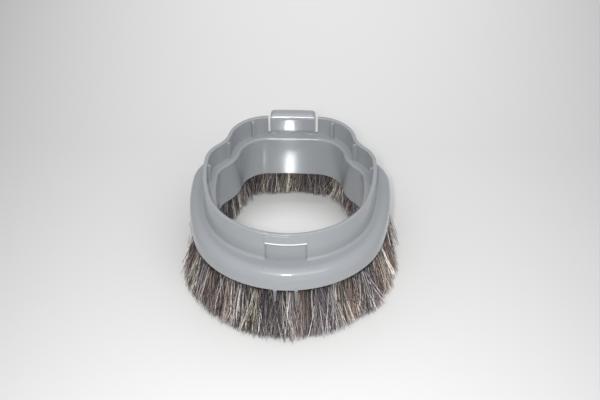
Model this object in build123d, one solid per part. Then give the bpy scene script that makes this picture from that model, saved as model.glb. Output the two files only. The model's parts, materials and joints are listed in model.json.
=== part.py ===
from build123d import *
import math
import os

# Push-on dusting brush for a vacuum cleaner: a bell-shaped ring moulded in one
# piece, with bristle tufts held by wire anchors in holes under its skirt.
# Sizes are millimetres and angles are degrees. +Z is up and the front faces -Y.
# The brush stands on its bristle tips at Z = 0, with the origin under its middle.

# Collar in plan, outer face: front arc, side arc, bend, hollow waist, back corner
collar_front_y = -49.9
collar_front_radius = 40.3
collar_side_radius = 93.7
collar_bend_radius = 18.7
collar_waist_radius = 16.7
collar_corner_radius = 20.5

# Heading at the end of each arc, the same for the collar and the skirt
front_angle = 75.1
side_angle = 93.5
bend_angle = 134.5
waist_angle = 98.7
corner_angle = 176.8

# How much further out the skirt lies: its front, and the radius of each of its arcs
skirt_front_reach = 9.3
skirt_front_growth = 6.4
skirt_side_growth = 37.1
skirt_bend_growth = 6.1
skirt_waist_growth = 12.0
skirt_corner_growth = 4.6

# Heights, counted up or down from the lower edge of the skirt
bristle_reach = 28.0
inner_wall_drop = 7.4
block_recess = 1.5
shoulder_height = 10.2
ledge_height = 14.9
rim_height = 25.2

# Walls of the moulding
collar_wall = 2.0
skirt_wall = 2.0
inner_wall = 1.8
ledge_width = 4.1

# Rounded edges
shoulder_round = 4.6
crease_round = 1.4
rim_round = 0.7
ledge_round = 1.2
lower_edge_round = 0.4

# Snap tab at the back, rolled over towards the inside
tab_width = 23.0
tab_slit = 1.2
tab_rise = 3.8
tab_wall = 2.0
tab_roll = 6.2
tab_lip_height = 9.0
tab_roll_round = 3.0
tab_hollow_share = 0.45
tab_outer_round = 1.4
tab_corner_round = 3.0
slit_floor_gap = 0.4

# Upright ribs inside the collar, placed by the outline's heading on their arcs
rib_width = 1.2
rib_depth = 1.6
rib_top_round = 1.0
rib_rim_gap = 0.8
rib_sink = 0.4
side_rib_angle = 90.2
flank_rib_angle = 118.9
corner_rib_angle = 150.8

# Window recess and the raised lip between it and the rim, in the front of the collar
window_width = 19.4
window_height = 9.2
window_depth = 1.0
lip_bulge = 0.5
lip_round = 0.3

# Tapered pegs under the front edge of the skirt
peg_spacing = 9.7
peg_length = 7.4
peg_top_radius = 1.2
peg_tip_radius = 0.55
peg_tip_round = 0.4

# Bristle tufts, their holes and the wire anchors
tuft_count = 54
tuft_sides = 10
hole_radius = 2.4
hole_depth = 6.6
hole_clearance = 0.05
tuft_lean = 5.0
tip_depth = 8.6
tip_gap = 0.5
anchor_thickness = 0.4
anchor_height = 1.8
anchor_cover = 0.8
anchor_clearance = 0.05

# Levels above the surface that the brush stands on
skirt_edge_z = bristle_reach
inner_edge_z = skirt_edge_z - inner_wall_drop
block_z = skirt_edge_z + block_recess
shoulder_z = skirt_edge_z + shoulder_height
ledge_z = skirt_edge_z + ledge_height
rim_z = skirt_edge_z + rim_height
tab_top_z = rim_z + tab_rise

# How far the opening lies inside the collar's outer face
opening_inset = collar_wall + ledge_width

angles = (front_angle, side_angle, bend_angle, waist_angle, corner_angle)
collar_plan = (
    collar_front_y,
    (
        collar_front_radius,
        collar_side_radius,
        collar_bend_radius,
        -collar_waist_radius,
        collar_corner_radius,
    ),
    angles,
)
skirt_plan = (
    collar_front_y - skirt_front_reach,
    (
        collar_front_radius + skirt_front_growth,
        collar_side_radius + skirt_side_growth,
        collar_bend_radius + skirt_bend_growth,
        skirt_waist_growth - collar_waist_radius,
        collar_corner_radius + skirt_corner_growth,
    ),
    angles,
)


def arc_point(start, radius, angle_from, angle_to):
    """Point where an arc of this radius ends, which leaves start and turns between these headings.

    A negative radius bends the other way, as the hollow waist does.
    """
    a = math.radians(angle_from)
    b = math.radians(angle_to)
    x = start[0] + radius * (math.sin(b) - math.sin(a))
    y = start[1] + radius * (math.cos(a) - math.cos(b))
    return (x, y)


def half_outline(plan, grow=0.0):
    """Right half of a bell outline from front to back, as (start, radius, headings) of its arcs.

    grow moves the whole outline outwards. The last arc closes on the middle plane.
    """
    front_y, radii, headings = plan
    start = (0.0, front_y - grow)
    heading = 0.0
    arcs = []
    for radius, after in zip(radii, headings):
        arcs.append((start, radius + grow, heading, after))
        start = arc_point(start, radius + grow, heading, after)
        heading = after
    back_radius = start[0] / math.sin(math.radians(heading))
    arcs.append((start, back_radius, heading, 180.0))
    return arcs


def outline_wire(plan, grow=0.0):
    """Closed bell outline in the XY plane, which starts at the front middle."""
    right = []
    left = []
    for start, radius, angle_from, angle_to in half_outline(plan, grow):
        middle = arc_point(start, radius, angle_from, (angle_from + angle_to) / 2)
        end = arc_point(start, radius, angle_from, angle_to)
        if angle_to == 180.0:
            end = (0.0, end[1])
        right.append(Edge.make_three_point_arc(start, middle, end))
        mirrored = [(-x, y) for x, y in (end, middle, start)]
        left.insert(0, Edge.make_three_point_arc(*mirrored))
    return Wire(right + left)


def slab(plan, grow, low_z, high_z):
    """Upright solid of a bell outline between two levels."""
    face = Face(outline_wire(plan, grow)).moved(Location((0, 0, low_z)))
    return extrude(face, high_z - low_z)


def edges_at(solid, z):
    """Edges that lie in the level plane at z."""
    return [edge for edge in solid.edges() if abs(edge.bounding_box().min.Z - z) < 1e-4
            and abs(edge.bounding_box().max.Z - z) < 1e-4]


def outer_edges_at(solid, z, plan, grow):
    """Edges in the level plane at z that lie on this outline."""
    outline = outline_wire(plan, grow).moved(Location((0, 0, z)))
    return [edge for edge in edges_at(solid, z) if outline.distance_to(edge @ 0.5) < 1e-3]


def collar_and_skirt():
    """Collar, ledge, inner wall and skirt as one moulding, with rounded edges and no details."""
    skirt = slab(skirt_plan, 0, skirt_edge_z, shoulder_z)
    collar = slab(collar_plan, 0, shoulder_z, rim_z)
    body = skirt + collar
    body -= slab(skirt_plan, -skirt_wall, skirt_edge_z, block_z)
    body += slab(collar_plan, inner_wall - opening_inset, inner_edge_z, block_z)
    body -= slab(collar_plan, -opening_inset, inner_edge_z, ledge_z)
    body -= slab(collar_plan, -collar_wall, ledge_z, rim_z)
    rounds = (
        (shoulder_z, skirt_plan, 0, shoulder_round),
        (shoulder_z, collar_plan, 0, crease_round),
        (rim_z, collar_plan, 0, rim_round),
        (rim_z, collar_plan, -collar_wall, rim_round),
        (ledge_z, collar_plan, -opening_inset, ledge_round),
        (inner_edge_z, collar_plan, -opening_inset, lower_edge_round),
        (inner_edge_z, collar_plan, inner_wall - opening_inset, lower_edge_round),
        (skirt_edge_z, skirt_plan, 0, lower_edge_round),
    )
    for z, plan, grow, radius in rounds:
        body = fillet(outer_edges_at(body, z, plan, grow), radius)
    return body


def tab_profile(back_y):
    """Section of the tab: a wall that rises, rolls over towards the inside and hangs down as a lip."""
    low_z = ledge_z + slit_floor_gap
    lip_low_z = tab_top_z - tab_lip_height
    full = Pos(-tab_roll / 2, (tab_top_z + low_z) / 2) * Rectangle(tab_roll, tab_top_z - low_z)
    inner_top = full.vertices().group_by(Axis.Y)[-1].sort_by(Axis.X)[0]
    full = fillet(inner_top, tab_roll_round)
    full = fillet(full.vertices().group_by(Axis.Y)[-1].sort_by(Axis.X)[-1], tab_outer_round)
    hollow_width = tab_roll - 2 * tab_wall
    hollow_top = tab_top_z - tab_wall
    hollow = Pos(-tab_roll / 2, (hollow_top + low_z) / 2) * Rectangle(hollow_width, hollow_top - low_z)
    hollow = fillet(hollow.vertices().group_by(Axis.Y)[-1], hollow_width * tab_hollow_share)
    below_lip = Pos(-tab_roll, low_z) * Rectangle(2 * (tab_roll - tab_wall), 2 * (lip_low_z - low_z))
    section = full - hollow - below_lip
    return Plane((0, back_y, 0), x_dir=(0, 1, 0), z_dir=(1, 0, 0)) * section


def snap_tab():
    """The tab follows the back arc of the collar, cut to its width with rounded top corners."""
    start, radius, angle_from, angle_to = half_outline(collar_plan)[-1]
    back_y = arc_point(start, radius, angle_from, angle_to)[1]
    centre = Axis((0, back_y - radius, 0), (0, 0, 1))
    spread = 2 * math.degrees(math.asin(tab_width / radius))
    section = tab_profile(back_y).rotate(centre, -spread / 2)
    ring_piece = revolve(section, centre, spread)
    height = tab_top_z - ledge_z
    plate = Pos(0, tab_top_z - height / 2) * Rectangle(tab_width, height)
    plate = fillet(plate.vertices().group_by(Axis.Y)[-1], tab_corner_round)
    cutter = extrude(Plane.XZ.offset(-back_y - tab_roll) * plate, 3 * tab_roll)
    return ring_piece & cutter


def tab_gap():
    """Block that takes the collar's wall away where the tab and its two slits are."""
    width = tab_width + 2 * tab_slit
    low_z = ledge_z + slit_floor_gap
    start, radius, angle_from, angle_to = half_outline(collar_plan)[-1]
    back_y = arc_point(start, radius, angle_from, angle_to)[1]
    height = tab_top_z - low_z
    return Pos(0, back_y, low_z + height / 2) * Box(width, 2 * (opening_inset + collar_wall), height)


def rib(arc_index, angle, side):
    """Thin upright rib on the collar's inner face, from the ledge to just below the rim."""
    start, radius, angle_from, angle_to = half_outline(collar_plan, -collar_wall)[arc_index]
    x, y = arc_point(start, radius, angle_from, angle)
    height = rim_height - ledge_height - rib_rim_gap
    depth = rib_depth + rib_sink
    block = Pos(0, depth / 2 - rib_sink, 0) * Box(rib_width, depth, height + rib_sink)
    top_edge = block.edges().filter_by(Axis.X).group_by(Axis.Z)[-1].sort_by(Axis.Y)[-1]
    block = fillet(top_edge, rib_top_round)
    place = Location((side * x, y, ledge_z + (height - rib_sink) / 2), (0, 0, side * angle))
    return place * block


def window_recess():
    """Shallow cut in the front of the collar, whose floor follows the collar's arc."""
    middle = Pos(0, collar_front_y, shoulder_z + window_height / 2)
    block = middle * Box(window_width, 2 * window_width, window_height)
    return block - slab(collar_plan, -window_depth, shoulder_z, shoulder_z + window_height)


def window_lip():
    """Raised band above the window, which follows the collar's arc up to the rim."""
    low_z = shoulder_z + window_height
    high_z = rim_z - rim_round
    outer = slab(collar_plan, lip_bulge, low_z, high_z)
    band = outer - slab(collar_plan, -collar_wall / 2, low_z, high_z)
    middle = Pos(0, collar_front_y, (low_z + high_z) / 2)
    band = band & middle * Box(window_width, 2 * window_width, high_z - low_z)
    face_edges = [edge for z in (low_z, high_z) for edge in outer_edges_at(band, z, collar_plan, lip_bulge)]
    return fillet(face_edges, lip_round)


def peg(side):
    """Tapered peg that hangs from the skirt's front wall."""
    x = side * peg_spacing / 2
    start, radius, angle_from, angle_to = half_outline(skirt_plan, -skirt_wall / 2)[0]
    y = start[1] + radius - math.sqrt(radius ** 2 - x ** 2)
    length = peg_length + block_recess
    cone = Cone(peg_tip_radius, peg_top_radius, length)
    cone = fillet(cone.edges().sort_by(Axis.Z)[0], peg_tip_round)
    return Pos(x, y, block_z - length / 2) * cone


def tuft_stations():
    """Mouth centre, tip centre and outward direction of each tuft, evenly spaced round the channel."""
    inside = outline_wire(collar_plan, inner_wall - opening_inset)
    outside = outline_wire(skirt_plan, -skirt_wall)
    stations = []
    for index in range(tuft_count):
        share = (index + 0.5) / tuft_count
        near = inside.position_at(share)
        far = outside.position_at(share)
        outward = (far - near).normalized()
        mouth = (near + far) / 2 + Vector(0, 0, block_z)
        tip = mouth + outward * tuft_lean - Vector(0, 0, block_z)
        stations.append((mouth, tip, outward))
    return stations


def tuft_plane(station):
    """Plane at the mouth of a tuft's hole: X outwards, Y along the row, Z up the hole."""
    mouth, tip, outward = station
    up = (mouth - tip).normalized()
    return Plane(origin=mouth, x_dir=outward - up * outward.dot(up), z_dir=up)


def tuft_hole(station):
    """Blind hole for one tuft, opened past the block's face where it leans."""
    mouth_excess = hole_radius
    length = hole_depth + mouth_excess
    return tuft_plane(station) * Pos(0, 0, length / 2 - mouth_excess) * Cylinder(hole_radius, length)


def anchor_box(station, clearance=0.0, length=2 * hole_radius):
    """Flat wire across the hole, a little below its bottom."""
    middle_z = hole_depth - anchor_cover - anchor_height / 2
    box = Box(length, anchor_thickness + 2 * clearance, anchor_height + 2 * clearance)
    return tuft_plane(station) * Pos(0, 0, middle_z) * box


def wire_anchor(station):
    """Anchor of one tuft, as long as the hole is wide."""
    half_width = anchor_thickness / 2
    return anchor_box(station, 0.0, 2 * math.sqrt(hole_radius ** 2 - half_width ** 2))


def ring_points(plane, depth, width, z=0.0):
    """Points of a regular ring in a plane, this deep along its X and this wide along its Y."""
    points = []
    for index in range(tuft_sides):
        angle = 2 * math.pi * (index + 0.5) / tuft_sides
        local = Vector(depth / 2 * math.cos(angle), width / 2 * math.sin(angle), z)
        points.append(plane.from_local_coords(local))
    return points


def faceted_solid(rings):
    """Closed solid with flat triangles between rings of as many points each."""
    faces = [Face(Wire.make_polygon(rings[0])), Face(Wire.make_polygon(rings[-1]))]
    for lower, upper in zip(rings, rings[1:]):
        for index in range(tuft_sides):
            after = (index + 1) % tuft_sides
            faces.append(Face(Wire.make_polygon([lower[index], lower[after], upper[after]])))
            faces.append(Face(Wire.make_polygon([lower[index], upper[after], upper[index]])))
    return Solid(Shell(faces))


def bristle_tuft(station, before, after):
    """Bundle of bristles: straight in its hole, then splayed out to its trimmed tip.

    The tip is as wide as the spacing to the nearer neighbour allows.
    """
    mouth, tip, outward = station
    spacing = min((tip - before[1]).length, (tip - after[1]).length)
    plane = tuft_plane(station)
    bundle = 2 * (hole_radius - hole_clearance)
    floor = Plane(origin=tip, x_dir=outward, z_dir=(0, 0, 1))
    rings = [
        ring_points(floor, tip_depth, spacing - tip_gap),
        ring_points(plane, bundle, bundle),
        ring_points(plane, bundle, bundle, hole_depth - hole_clearance),
    ]
    slot = anchor_box(station, anchor_clearance, 4 * hole_radius)
    return faceted_solid(rings) - slot


def brush_body(stations):
    """The whole moulding: collar, skirt, tab, ribs, window, pegs and tuft holes."""
    body = collar_and_skirt()
    body -= tab_gap()
    body += snap_tab()
    for side in (-1, 1):
        body += rib(1, side_rib_angle, side)
        body += rib(3, flank_rib_angle, side)
        body += rib(4, corner_rib_angle, side)
        body += peg(side)
    body -= window_recess()
    body += window_lip()
    body -= [tuft_hole(station) for station in stations]
    return body


def build():
    """Every node of the brush by name, moved so that the origin is under its middle."""
    stations = tuft_stations()
    nodes = {"brush_body": brush_body(stations)}
    nodes["tuft_anchors"] = Compound([wire_anchor(station) for station in stations])
    for index, station in enumerate(stations):
        before = stations[index - 1]
        after = stations[(index + 1) % tuft_count]
        name = "bristle_tuft_%02d" % (index + 1)
        nodes[name] = bristle_tuft(station, before, after)
    box = Compound([shape for shape in nodes.values()]).bounding_box()
    shift = Location((0, -(box.min.Y + box.max.Y) / 2, 0))
    return {name: shape.moved(shift) for name, shape in nodes.items()}


os.makedirs("parts", exist_ok=True)
for name, shape in build().items():
    export_step(shape, "parts/" + name + ".step")
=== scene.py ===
import json

import bpy
import numpy as np
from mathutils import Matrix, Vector


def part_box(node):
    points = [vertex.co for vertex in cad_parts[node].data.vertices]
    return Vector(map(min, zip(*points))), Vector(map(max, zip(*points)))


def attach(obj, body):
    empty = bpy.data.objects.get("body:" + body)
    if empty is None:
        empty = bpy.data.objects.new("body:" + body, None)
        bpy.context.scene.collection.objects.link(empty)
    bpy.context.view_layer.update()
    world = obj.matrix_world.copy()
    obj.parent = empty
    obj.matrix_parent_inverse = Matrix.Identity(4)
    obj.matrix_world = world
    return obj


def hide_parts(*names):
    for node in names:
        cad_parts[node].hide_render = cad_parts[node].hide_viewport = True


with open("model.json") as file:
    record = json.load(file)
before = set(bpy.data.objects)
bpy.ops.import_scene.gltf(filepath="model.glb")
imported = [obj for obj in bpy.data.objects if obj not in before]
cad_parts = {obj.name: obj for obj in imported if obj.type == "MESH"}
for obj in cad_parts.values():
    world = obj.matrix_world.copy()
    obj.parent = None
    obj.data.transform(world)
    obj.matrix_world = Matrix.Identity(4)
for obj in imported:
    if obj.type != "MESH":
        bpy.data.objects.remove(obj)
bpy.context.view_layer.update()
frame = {"nodes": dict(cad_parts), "record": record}

# Lengths are metres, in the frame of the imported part. The front of the brush faces -Y.

# Camera, placed in the frame of the outlines below
camera_place = (0.0199, -0.4972, 0.4106)
camera_aim = (-0.0240, 0.7981, -0.6020)
camera_lens = 76.26
sensor_width = 36.0

# Plan outlines of the collar and the skirt: front, signed radii, and headings in degrees
headings = (75.1, 93.5, 134.5, 98.7, 176.8)
collar_plan = (-0.0499, (0.0403, 0.0937, 0.0187, -0.0167, 0.0205), headings)
skirt_plan = (-0.0592, (0.0467, 0.1308, 0.0248, -0.0047, 0.0251), headings)
channel_inner_grow = -0.0043
channel_outer_grow = -0.0020

# Window at the front of the collar: half its width, its foot, the panel's top and the lip's edge.
# At the middle, the faces of the panel and of the lip lie in front of the two y.
window_half = 0.0097
window_foot_z = 0.0372
panel_top_z = 0.0472
lip_edge_z = 0.0478
panel_front_y = -0.0478
lip_front_y = -0.0487
collar_bend = 0.5 / collar_plan[1][0]

# Pegs under the skirt, darkened with painted shade: they lie in front of the y and reach down from
# the z
peg_front_y = -0.0455
peg_shade_z = 0.0277

# How far the tips splay past the channel's outer and inner wall, by the y of the mouth
splay_y = (-0.060, -0.040, -0.015, 0.005, 0.030, 0.042, 0.050)
right_splay = (0.0066, 0.0062, 0.0080, 0.0072, 0.0040, 0.0045, 0.0050)
left_splay = (0.0066, 0.0062, 0.0070, 0.0040, 0.0030, 0.0045, 0.0050)
inner_splay = (0.0040, 0.0030, 0.0020, 0.0010, 0.0005, 0.0015, 0.0055)

# Bristle tufts
tuft_count = 54
mouth_z = 0.0295
hole_radius = 0.00235
root_depth = 0.0030
root_shade_z = 0.0246
tip_gap = 0.0002
tuft_overlap = 1.3
locks_per_tuft = 44
hairs_per_lock = 12
strays_per_tuft = 10
stray_factor = 3.0
tuft_seed = 4100

# One hair: radius, sides, and the ways along it at which its rings lie
hair_radius = 0.000130
hair_sides = 3
ring_places = np.array([0.0, 0.28, 0.54, 0.76, 0.94])

# Unevenness of the hairs, as the share of the lock and the share of the hair's own
root_spread = (0.85, 0.30)
tip_spread = (0.84, 0.12)
trim_shares = (0.030, 0.045)
shade_shares = (0.42, 0.58)
bow_shares = (0.0012, 0.0010)
own_wave = 0.0009
lock_crossing = (0.0006, 0.0040)
own_crossing = (0.0014, 0.0085)
tip_flare = 0.0012
mixed_hairs = 0.45

# Colours of the four sorts of hair, from the darkest lock to the palest
bristle_stops = {
    "bristles_grey": [
        (0.00, (0.035, 0.030, 0.033)), (0.30, (0.150, 0.130, 0.134)), (0.55, (0.330, 0.305, 0.295)),
        (0.75, (0.240, 0.212, 0.250)), (1.00, (0.640, 0.600, 0.530)),
    ],
    "bristles_brown": [
        (0.00, (0.038, 0.028, 0.028)), (0.30, (0.170, 0.118, 0.104)), (0.55, (0.360, 0.275, 0.240)),
        (0.75, (0.200, 0.165, 0.168)), (1.00, (0.620, 0.545, 0.470)),
    ],
    "bristles_dark": [
        (0.00, (0.024, 0.021, 0.025)), (0.30, (0.095, 0.082, 0.092)), (0.55, (0.240, 0.210, 0.240)),
        (0.75, (0.150, 0.124, 0.128)), (1.00, (0.560, 0.530, 0.500)),
    ],
    "bristles_cream": [
        (0.00, (0.050, 0.044, 0.039)), (0.30, (0.250, 0.218, 0.185)), (0.55, (0.500, 0.450, 0.375)),
        (0.75, (0.340, 0.298, 0.280)), (1.00, (0.700, 0.660, 0.580)),
    ],
}

# Studio
floor_half = 3.0
world_strength = 0.58
ring_middle = (0.0, 0.0, 0.03)
glint_spread = 0.75


# Shader nodes
class Value:
    """Output of a shader node. Arithmetic on it adds Math nodes."""

    def __init__(self, finish, socket):
        self.finish = finish
        self.socket = socket

    def __add__(self, other):
        return self.finish.maths("ADD", self, other)

    def __radd__(self, other):
        return self.finish.maths("ADD", other, self)

    def __sub__(self, other):
        return self.finish.maths("SUBTRACT", self, other)

    def __rsub__(self, other):
        return self.finish.maths("SUBTRACT", other, self)

    def __mul__(self, other):
        return self.finish.maths("MULTIPLY", self, other)

    def __rmul__(self, other):
        return self.finish.maths("MULTIPLY", other, self)

    def __truediv__(self, other):
        return self.finish.maths("DIVIDE", self, other)

    def __rtruediv__(self, other):
        return self.finish.maths("DIVIDE", other, self)

    def __pow__(self, other):
        return self.finish.maths("POWER", self, other)

    def __rpow__(self, other):
        return self.finish.maths("POWER", other, self)

    def __abs__(self):
        return self.finish.maths("ABSOLUTE", self)

    def at_least(self, other):
        return self.finish.maths("MAXIMUM", self, other)

    def at_most(self, other):
        return self.finish.maths("MINIMUM", self, other)

    def clamped(self):
        """The value held between 0 and 1."""
        return self.at_most(1.0).at_least(0.0)

    def past(self, level, slope):
        """0 up to a level, then rising at a slope to 1."""
        return ((self - level) * slope).clamped()

    def short_of(self, level, slope):
        """0 from a level on, and rising at a slope to 1 below it."""
        return ((level - self) * slope).clamped()


class Finish:
    """A material with an empty node tree, and the ways to add nodes to it."""

    def __init__(self, name):
        self.material = bpy.data.materials.new(name)
        self.material.use_nodes = True
        self.tree = self.material.node_tree
        self.tree.nodes.clear()

    def node(self, kind, settings=None, inputs=None, output=0):
        """A node of this type: its settings first, then its sockets. Gives one of its outputs."""
        made = self.tree.nodes.new("ShaderNode" + kind)
        for name, setting in (settings or {}).items():
            if name == "stops":
                self.set_stops(made.color_ramp, setting)
            else:
                setattr(made, name, setting)
        for key, given in (inputs or {}).items():
            if isinstance(given, Value):
                self.tree.links.new(given.socket, made.inputs[key])
            else:
                made.inputs[key].default_value = given
        return Value(self, made.outputs[output]) if made.outputs else made

    def set_stops(self, ramp, stops):
        """Colour ramp stops as (place, colour) pairs."""
        while len(ramp.elements) < len(stops):
            ramp.elements.new(1.0)
        for element, (place, tone) in zip(ramp.elements, stops):
            element.position = place
            element.color = (*tone, 1.0)

    def maths(self, operation, *numbers):
        return self.node("Math", {"operation": operation}, dict(enumerate(numbers)))

    def place(self):
        """Object coordinates, in metres."""
        return self.node("TexCoord", output="Object")

    def stretched(self, vector, scale):
        """The coordinates multiplied axis by axis."""
        return self.node("VectorMath", {"operation": "MULTIPLY"}, {0: vector, 1: scale})

    def axes(self, vector):
        """The three numbers of a vector."""
        first = self.node("SeparateXYZ", None, {0: vector})
        return [Value(self, socket) for socket in first.socket.node.outputs]

    def noise(self, vector, scale, detail):
        return self.node("TexNoise", None, {"Vector": vector, "Scale": scale, "Detail": detail})

    def between(self, amount, low, high):
        """Colour between two, by an amount from 0 to 1."""
        return self.node("Mix", {"data_type": "RGBA"}, {0: amount, 6: low, 7: high}, 2)

    def surface(self, **sockets):
        """The Principled shader and the material's output. Socket names use _ for spaces."""
        inputs = {name.replace("_", " "): given for name, given in sockets.items()}
        shader = self.node("BsdfPrincipled", None, inputs)
        self.node("OutputMaterial", None, {"Surface": shader})
        return self.material


def colour(red, green, blue):
    return (red, green, blue, 1.0)


def moulded_plastic():
    """Semi-gloss grey plastic: faint flow clouds, a fine moulded grain and light rubbing upwards.

    The pegs under the skirt are darkened by painted shade, the lower edge of the window's lip
    has a painted highlight, a pale line, and the panel under it is a little matt. The window's
    faces follow the collar's front, so they are picked by y - b x ** 2, with b the collar's bend.
    """
    finish = Finish("grey_moulded_plastic")
    place = finish.place()
    x, y, z = finish.axes(place)
    clouds = finish.noise(place, 28.0, 4.0)
    rubbed = finish.noise(finish.stretched(place, (900.0, 900.0, 60.0)), 1.0, 2.0)
    specks = finish.noise(place, 1400.0, 1.0)
    grain = finish.noise(place, 2600.0, 2.0)
    dust = specks.past(0.66, 6.0) * 0.25
    # painted shade: the pegs under the skirt are darkened
    painted_peg_shade = z.short_of(peg_shade_z, 3000.0) * y.short_of(peg_front_y, 4000.0) * 0.65
    depth = y - x * x * collar_bend
    in_window = abs(x).short_of(window_half, 9000.0)
    # painted highlight: a pale line along the lower edge of the window's lip
    from_edge = (z - lip_edge_z) * 2500.0
    near_edge = (1.5 - from_edge * from_edge).clamped()
    painted_lip_highlight = near_edge * in_window * depth.short_of(lip_front_y, 4000.0)
    on_panel = z.short_of(panel_top_z, 4000.0) * z.past(window_foot_z, 2000.0)
    matt = on_panel * in_window * depth.short_of(panel_front_y, 4000.0) * 0.3
    base = finish.between(clouds, colour(0.290, 0.306, 0.322), colour(0.326, 0.340, 0.356))
    base = finish.between(dust, base, colour(0.50, 0.51, 0.52))
    # painted shade on the pegs under the skirt
    base = finish.between(painted_peg_shade, base, colour(0.11, 0.10, 0.10))
    # painted highlight on the lip's lower edge
    base = finish.between(painted_lip_highlight, base, colour(0.95, 0.95, 0.95))
    rough = 0.13 + clouds * 0.05 + rubbed * 0.05 + dust * 0.5 + matt
    height = grain * 0.6 + clouds * 0.4 + rubbed * 0.3
    normal = finish.node("Bump", None, {"Strength": 0.10, "Distance": 0.00006, "Height": height})
    return finish.surface(Base_Color=base, Roughness=rough, Normal=normal)


def drawn_steel():
    """Bright flat wire with fine drawing lines."""
    finish = Finish("drawn_steel_wire")
    lines = finish.noise(finish.stretched(finish.place(), (300.0, 300.0, 9000.0)), 1.0, 2.0)
    base = finish.between(lines, colour(0.42, 0.42, 0.43), colour(0.62, 0.62, 0.63))
    return finish.surface(Base_Color=base, Metallic=1.0, Roughness=0.28 + lines * 0.15)


def horsehair(name, stops):
    """Bristle hair, in the colour that the stops give to its lock.

    The strand attribute holds the lock's number, the hair's number h and the way along the
    hair s, each from 0 to 1. The colour is multiplied by min(0.15 + 8.4 h ** 4, 1.8), by
    0.46 + 0.78 s, a painted shade towards the roots, and by a mottle. The roots in the shade of
    the skirt get painted shade, nearly black, and further down at the sides. The hair at the
    sides and the back is a little paler.
    """
    finish = Finish("horsehair_" + name)
    strand = finish.node("Attribute", {"attribute_name": "strand"}, None, "Vector")
    lock, hair, along = finish.axes(strand)
    place = finish.place()
    x, y, z = finish.axes(place)
    mottle = finish.noise(finish.stretched(place, (2500.0, 2500.0, 500.0)), 1.0, 2.0)
    own = (0.15 + hair ** 4.0 * 8.4).at_most(1.8)
    # painted shade at the roots under the skirt, reaching further down at the sides
    overhang = (x ** 4.0 * 770.0).at_most(0.0018)
    lit = 0.04 + (z + overhang).short_of(root_shade_z, 900.0) * 0.96
    aside = (x * 12.0).at_least(x * -3.6)
    behind = (y - 0.02).at_least(0.0) * 4.0
    shade = own * lit * (1.02 + aside + behind) * (0.46 + along * 0.78) * (0.75 + mottle * 0.5)
    base = finish.node("ValToRGB", {"stops": stops}, {"Fac": lock})
    base = finish.node("HueSaturation", None, {"Value": shade, "Color": base})
    return finish.surface(Base_Color=base, Roughness=0.34 + hair * 0.2)


# Geometry
def plan_shift():
    """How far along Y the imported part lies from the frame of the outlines."""
    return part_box("brush_body")[0].y - skirt_plan[0]


def half_outline(plan, grow):
    """Right half of a bell outline as (start, radius, turn from, turn to) of its arcs."""
    front_y, radii, turns = plan
    start = np.array([0.0, front_y - grow])
    turned = 0.0
    arcs = []
    for radius, turn in zip(radii, turns):
        arcs.append((start, radius + grow, turned, turn))
        start = arc_points(arcs[-1], 1.0)
        turned = turn
    back_radius = start[0] / np.sin(np.radians(turned))
    arcs.append((start, back_radius, turned, 180.0))
    return arcs


def arc_points(arc, share):
    """Point at a share of an arc: start + r (sin b - sin a, cos a - cos b), b the turn there."""
    start, radius, turn_from, turn_to = arc
    a = np.radians(turn_from)
    b = a + np.radians(turn_to - turn_from) * share
    return start + radius * np.array([np.sin(b) - np.sin(a), np.cos(a) - np.cos(b)])


def outline_point(plan, grow, share):
    """Point at a share of the outline's length, counted from the front middle by the right."""
    arcs = half_outline(plan, grow)
    lengths = np.array([abs(arc[1] * np.radians(arc[3] - arc[2])) for arc in arcs])
    side = 1.0 if share < 0.5 else -1.0
    way = 2.0 * min(share, 1.0 - share) * lengths.sum()
    ends = np.cumsum(lengths)
    index = min(int(np.searchsorted(ends, way)), len(arcs) - 1)
    within = (way - ends[index] + lengths[index]) / lengths[index]
    x, y = arc_points(arcs[index], within)
    return np.array([side * x, y])


def tuft_stations():
    """Mouth centre, inner tip, outer tip and outward direction of each tuft, as four arrays."""
    rows = []
    for index in range(tuft_count):
        share = (index + 0.5) / tuft_count
        near = outline_point(collar_plan, channel_inner_grow, share)
        far = outline_point(skirt_plan, channel_outer_grow, share)
        outward = (far - near) / np.linalg.norm(far - near)
        mouth = (near + far) / 2
        inner_tip = near + outward * np.interp(mouth[1], splay_y, inner_splay)
        outer_splay = right_splay if mouth[0] > 0 else left_splay
        outer_tip = far + outward * np.interp(mouth[1], splay_y, outer_splay)
        rows.append([(*mouth, mouth_z), (*inner_tip, 0.0), (*outer_tip, 0.0), (*outward, 0.0)])
    rows = np.array(rows)
    rows[:, :3, 1] += plan_shift()
    return rows.transpose(1, 0, 2)


def disc(random, count, power=0.5):
    """Points spread over a unit disc: radius u ** power at a random angle."""
    radius = random.random(count) ** power
    angle = random.random(count) * 2 * np.pi
    return np.stack([radius * np.cos(angle), radius * np.sin(angle)], 1)


def per_lock(values):
    """The values of the locks, each repeated for the lock's hairs."""
    return np.repeat(values, hairs_per_lock, 0)


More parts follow.
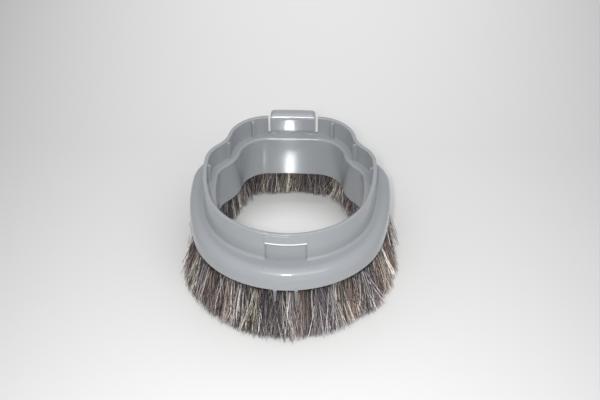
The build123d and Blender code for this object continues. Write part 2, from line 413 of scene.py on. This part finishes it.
def strand_centres(random, mouth, tip, depth, outward, width):
    """Centre lines of one tuft's hairs: an array of hairs x rings x 3.

    A hair starts at a point of the hole's disc and ends at the like point of the splayed
    tip ellipse. The hairs of a lock share most of their offset. With s the way along, the
    offset across the row opens by s ** 0.55 and the offset outwards by s ** 1.2. A hair bows
    by sin(pi s), waves by sin(2 pi s), crosses its neighbours by s ** 1.8, flares outwards
    by s ** 2.5 and is trimmed unevenly. The first few hairs are strays, which bow, wave and
    flare several times as much.
    """
    hairs = locks_per_tuft * hairs_per_lock
    up = (mouth - tip) / np.linalg.norm(mouth - tip)
    across = np.cross(up, outward)
    lock_disc = per_lock(disc(random, locks_per_tuft))
    lock_drift = per_lock(disc(random, locks_per_tuft))
    own_disc = disc(random, hairs)
    own_drift = disc(random, hairs, 1.0)
    trim = trim_shares[0] * per_lock(random.random(locks_per_tuft))
    trim = trim + trim_shares[1] * random.random(hairs) ** 4
    own_bow = disc(random, hairs) * bow_shares[1]
    bow = own_bow + per_lock(disc(random, locks_per_tuft)) * bow_shares[0]
    wave = disc(random, hairs) * own_wave
    flare = (per_lock(random.random(locks_per_tuft)) + 0.5 * random.random(hairs)) * tip_flare
    for amount in (bow, wave, flare):
        amount[:strays_per_tuft] *= stray_factor
    root = lock_disc * root_spread[0] + own_disc * root_spread[1]
    root = np.clip(root, -1, 1) * hole_radius
    tip_offset = lock_disc * tip_spread[0] + lock_drift * tip_spread[1]
    tip_offset = tip_offset * (depth / 2, width / 2)
    crossing = lock_drift * lock_crossing + own_drift * own_crossing
    s = np.append(ring_places, 1.0)[None, :, None]
    way = s * (1.0 - trim)[:, None, None]
    line = mouth + up * root_depth + (tip - mouth - up * root_depth) * way
    ease = way ** np.array([1.2, 0.55])
    offset = root[:, None, :] * (1 - ease) + tip_offset[:, None, :] * ease
    offset = offset + bow[:, None, :] * np.sin(np.pi * way)
    offset = offset + wave[:, None, :] * np.sin(2 * np.pi * way)
    offset = offset + crossing[:, None, :] * way ** 1.8
    offset[..., 0] += flare[:, None] * way[..., 0] ** 2.5
    points = line + offset[..., :1] * outward + offset[..., 1:] * across
    points[..., 2] = np.maximum(points[..., 2], tip_gap)
    return points


def strand_surface(centres, random):
    """Three-sided tubes round centre lines, with a short point at the tip.

    A hair with the number h is 0.75 + 0.90 h ** 3 of the hair's radius thick. Its ring at
    the way s is narrowed by 1 - 0.25 s ** 2, its last ring is one point and its base is closed
    by a triangle. Returns points, triangles and the strand values of the points.
    """
    hairs, rings, _ = centres.shape
    hair_value = shade_shares[0] * per_lock(random.random(locks_per_tuft))
    hair_value = hair_value + shade_shares[1] * random.random(hairs)
    thick = hair_radius * (0.75 + 0.90 * hair_value ** 3)
    radius = thick[:, None] * (1.0 - 0.25 * ring_places ** 2)[None, :]
    angle = 2 * np.pi * np.arange(hair_sides) / hair_sides
    turn = random.random(hairs) * 2 * np.pi
    angles = turn[:, None, None] + angle[None, None, :]
    circle = np.stack([np.cos(angles), np.sin(angles), np.zeros_like(angles)], -1)
    rims = centres[:, :-1, None, :] + radius[:, :, None, None] * circle
    per_hair = (rings - 1) * hair_sides + 1
    points = np.concatenate([rims.reshape(hairs, -1, 3), centres[:, -1:]], 1)
    faces = []
    for ring in range(rings - 2):
        for side in range(hair_sides):
            after = (side + 1) % hair_sides
            low, high = ring * hair_sides, (ring + 1) * hair_sides
            faces.append((low + side, high + side, high + after))
            faces.append((low + side, high + after, low + after))
    last = (rings - 2) * hair_sides
    for side in range(hair_sides):
        faces.append((last + side, per_hair - 1, last + (side + 1) % hair_sides))
    faces.append((0, 1, 2))
    faces = np.array(faces)[None] + (np.arange(hairs) * per_hair)[:, None, None]
    lock_value = per_lock(random.random(locks_per_tuft))
    own_value = random.random(hairs)
    is_mixed = random.random(hairs) < mixed_hairs
    tone_value = np.where(is_mixed, own_value, lock_value + 0.1 * own_value)
    strand = np.empty((hairs, per_hair, 3), np.float32)
    strand[..., 0] = tone_value.clip(0, 1)[:, None]
    strand[..., 1] = hair_value[:, None]
    strand[..., 2] = np.append(np.repeat(ring_places, hair_sides), 1.0)[None, :]
    return points.reshape(-1, 3), faces.reshape(-1, 3), strand.reshape(-1, 3)


def mesh_piece(name, points, faces, material):
    """A smooth-shaded mesh object from arrays of points and faces."""
    mesh = bpy.data.meshes.new(name)
    mesh.from_pydata(points.tolist(), [], faces.tolist())
    mesh.materials.append(material)
    mesh.shade_smooth()
    piece = bpy.data.objects.new(name, mesh)
    bpy.context.scene.collection.objects.link(piece)
    return piece


def bristle_tufts(finishes):
    """One piece of loose hair for each tuft of the part, in place of its plain bundle."""
    mouths, inner_tips, outer_tips, outwards = tuft_stations()
    tips = (inner_tips + outer_tips) / 2
    node_slot = {part["node"]: part["material_slot"] for part in frame["record"]["subparts"]}
    for index in range(tuft_count):
        random = np.random.default_rng(tuft_seed + index)
        gaps = [np.linalg.norm(tips[index] - tips[index - 1]),
                np.linalg.norm(tips[index] - tips[(index + 1) % tuft_count])]
        width = np.mean(gaps) * tuft_overlap
        depth = np.linalg.norm(outer_tips[index] - inner_tips[index])
        centres = strand_centres(
            random, mouths[index], tips[index], depth, outwards[index], width)
        points, faces, strand = strand_surface(centres, random)
        node = "bristle_tuft_%02d" % (index + 1)
        slot = node_slot[node]
        piece = mesh_piece("tuft_hair_%02d" % (index + 1), points, faces, finishes[slot])
        attribute = piece.data.attributes.new("strand", "FLOAT_VECTOR", "POINT")
        attribute.data.foreach_set("vector", strand.ravel())
        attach(piece, "root")
        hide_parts(node)


def floor_piece():
    """Pale floor, level with the tips.

    Its tone is (0.76 + min(1.2 a ** 2, 0.07) + 0.9 b + 0.36 m) c, painted light and shade. It
    is lighter in front, by the way a ahead of a line near the back of the brush, far behind, by
    the way b past a second line, and inside the ring, by a painted pool of light m = 1 - r ** 2
    / 0.0015. To the sides it is darker, by painted shade c = 1 - 8.5 u ** 2, which stops at 0.6.
    """
    finish = Finish("pale_floor")
    x, y, _ = finish.axes(finish.place())
    # painted light and shade: lighter in front and far behind, darker to the sides
    ahead = (0.06 - y).at_least(0.0)
    behind = (y - 0.10).at_least(0.0)
    aside = x - 0.01
    across = (1.0 - 8.5 * aside * aside).at_least(0.6)
    from_middle = y - 0.008
    # painted pool of light inside the ring
    painted_ring_light = (1.0 - (x * x + from_middle * from_middle) / 0.0015).at_least(0.0)
    forward = (1.2 * ahead * ahead).at_most(0.07)
    tone = (0.76 + forward + 0.9 * behind + 0.36 * painted_ring_light) * across
    base = finish.between(tone.clamped(), colour(0.0, 0.0, 0.0), colour(1.0, 1.0, 0.99))
    material = finish.surface(Base_Color=base, Roughness=0.45)
    corners = np.array([(-1, -1, 0), (1, -1, 0), (1, 1, 0), (-1, 1, 0)]) * floor_half
    piece = mesh_piece("floor", corners, np.array([(0, 1, 2, 3)]), material)


def placed(name, data, place, direction):
    """An object for a camera or a light, which looks along the direction."""
    holder = bpy.data.objects.new(name, data)
    bpy.context.scene.collection.objects.link(holder)
    holder.location = place
    holder.rotation_euler = Vector(direction).to_track_quat("-Z", "Y").to_euler()
    return holder


def lamp(name, place, aim, sides, power, glint=False):
    """Rectangular soft light aimed at a point. A glint is narrow, and the camera misses it."""
    light = bpy.data.lights.new(name, "AREA")
    light.shape = "RECTANGLE"
    light.size, light.size_y = sides
    light.energy = power
    light.spread = glint_spread if glint else np.pi
    holder = placed(name, light, place, Vector(aim) - Vector(place))
    holder.visible_camera = not glint


def studio():
    """Camera, lights and surroundings."""
    camera = bpy.data.cameras.new("camera")
    camera.lens = camera_lens
    camera.sensor_width = sensor_width
    place = Vector(camera_place) + Vector((0.0, plan_shift(), 0.0))
    bpy.context.scene.camera = placed("camera", camera, place, camera_aim)
    world = bpy.data.worlds.new("studio")
    bpy.context.scene.world = world
    world.use_nodes = True
    background = world.node_tree.nodes["Background"]
    background.inputs["Color"].default_value = colour(0.98, 0.99, 1.0)
    background.inputs["Strength"].default_value = world_strength
    lamp("front_softbox", (0.12, -0.75, 0.90), ring_middle, (1.30, 0.60), 6.1)
    lamp("camera_lamp", (-0.0107, -0.5, 0.43), ring_middle, (0.02, 0.06), 1.5)
    lamp("overhead_bar", (-0.01, -0.07, 0.90), (-0.01, -0.06, 0.0), (0.30, 0.02), 0.5)
    lamp("wall_glint", (-0.0022, 0.0127, 0.005), (-0.0022, 0.0927, 0.065),
         (0.003, 0.012), 0.00023, glint=True)
    lamp("tab_glint", (-0.0022, 0.021, 0.0345), (-0.0022, 0.050, 0.053),
         (0.003, 0.009), 0.00019, glint=True)
    bpy.context.scene.view_settings.view_transform = "Standard"


# Pieces
for node, material in (("brush_body", moulded_plastic()), ("tuft_anchors", drawn_steel())):
    frame["nodes"][node].data.materials.clear()
    frame["nodes"][node].data.materials.append(material)
bristle_tufts({slot: horsehair(slot, stops) for slot, stops in bristle_stops.items()})
floor_piece()
studio()
